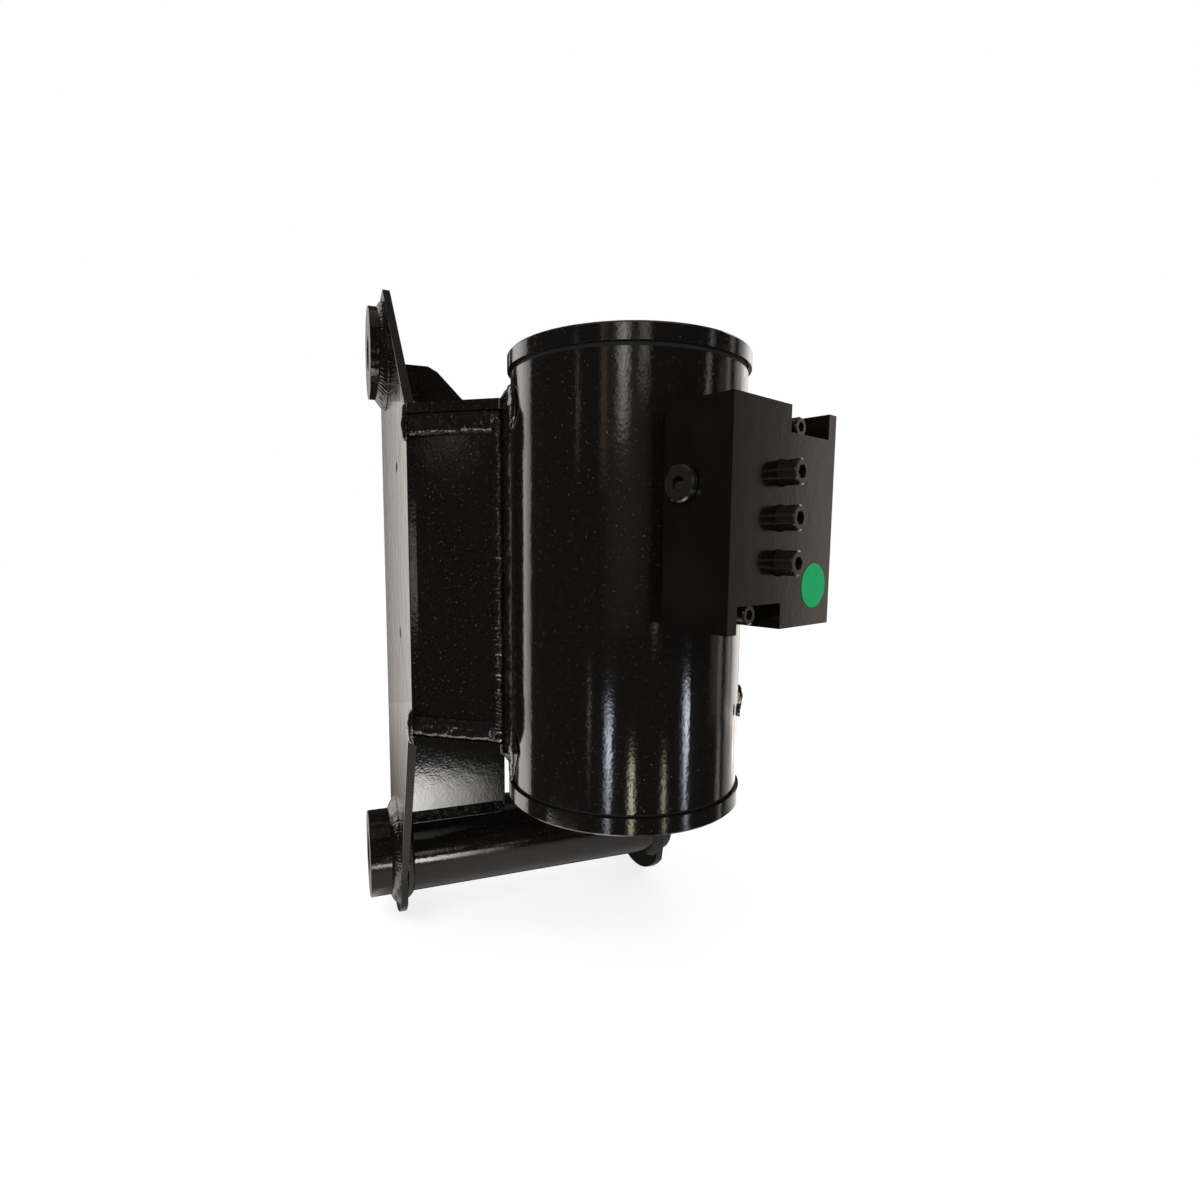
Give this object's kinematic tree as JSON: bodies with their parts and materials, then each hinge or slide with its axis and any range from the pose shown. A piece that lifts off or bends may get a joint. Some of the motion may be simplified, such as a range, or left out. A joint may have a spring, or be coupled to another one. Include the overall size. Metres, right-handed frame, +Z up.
{
  "type": "rotary actuator",
  "caption": "Hydraulic helical rotary actuator with a welded pivot bracket, flanged output shaft and side manifold block.",
  "frame": {"origin": "on the shaft axis at mid height of the housing", "axes": "+Z up the shaft to the flange, -X towards the welded bracket, +Y to the far side plate"},
  "size_m": [0.4932, 0.3664, 0.6938],
  "materials": {
    "housing_paint": "gloss",
    "bracket_paint": "gloss",
    "weld_paint": "gloss",
    "block_finish": "satin",
    "screw_finish": "satin",
    "ground_steel": "ground",
    "bearing_plastic": "matte",
    "washer_plastic": "matte",
    "seal_rubber": "matte",
    "dot_green": "matte"
  },
  "bodies": {
    "housing": {"housing_tube": "housing_paint", "gallery_plug": "ground_steel", "ring_gear": "ground_steel", "upper_bearing_ring": "bearing_plastic", "lower_bearing_ring": "bearing_plastic", "upper_shaft_seal": "seal_rubber", "lower_shaft_seal": "seal_rubber", "upper_thrust_washer": "washer_plastic", "lower_thrust_washer": "washer_plastic", "near_side_plate": "bracket_paint", "far_side_plate": "bracket_paint", "near_upper_boss": "bracket_paint", "far_upper_boss": "bracket_paint", "pivot_tube": "bracket_paint", "top_gusset_plate": "bracket_paint", "bottom_gusset_plate": "bracket_paint", "near_web_plate": "bracket_paint", "far_web_plate": "bracket_paint", "near_rear_plate": "bracket_paint", "far_rear_plate": "bracket_paint", "gusset_weld_beads": "weld_paint", "boss_weld_beads": "weld_paint", "pivot_weld_beads": "weld_paint", "tube_weld_beads": "weld_paint", "manifold_block": "block_finish", "block_centre_screws": "screw_finish", "centre_lock_washers": "screw_finish", "block_corner_screws": "screw_finish", "corner_lock_washers": "screw_finish", "block_side_plug": "screw_finish", "plug_sealing_ring": "seal_rubber", "port_pad": "housing_paint", "port_face_seals": "seal_rubber", "bleed_plug": "screw_finish", "inspection_dot": "dot_green"},
    "shaft": {"shaft": "housing_paint", "end_cap": "housing_paint", "cap_lock_screws": "screw_finish"},
    "piston_seal": {"piston_seal_ring": "seal_rubber"},
    "piston": {"piston_sleeve": "ground_steel", "piston_inner_seal": "seal_rubber"}
  },
  "joints": [
    {"name": "shaft_rotation", "type": "hinge", "parent": "housing", "child": "shaft", "pos_m": [0, 0, 0], "axis": [0, 0, 1], "range_deg": [-90, 90]},
    {"name": "piston_travel", "type": "slide", "parent": "housing", "child": "piston_seal", "axis": [0, 0, 1], "range_m": [-0.0501, 0.0501]},
    {"name": "piston_turn", "type": "hinge", "parent": "piston_seal", "child": "piston", "pos_m": [0, 0, 0], "axis": [0, 0, 1], "range_deg": [-45.1, 45.1]}
  ],
  "couplings": [
    {"joint": "piston_travel", "follows": "shaft_rotation", "m_per_rad": 0.031831},
    {"joint": "piston_turn", "follows": "shaft_rotation", "ratio": 0.5}
  ]
}
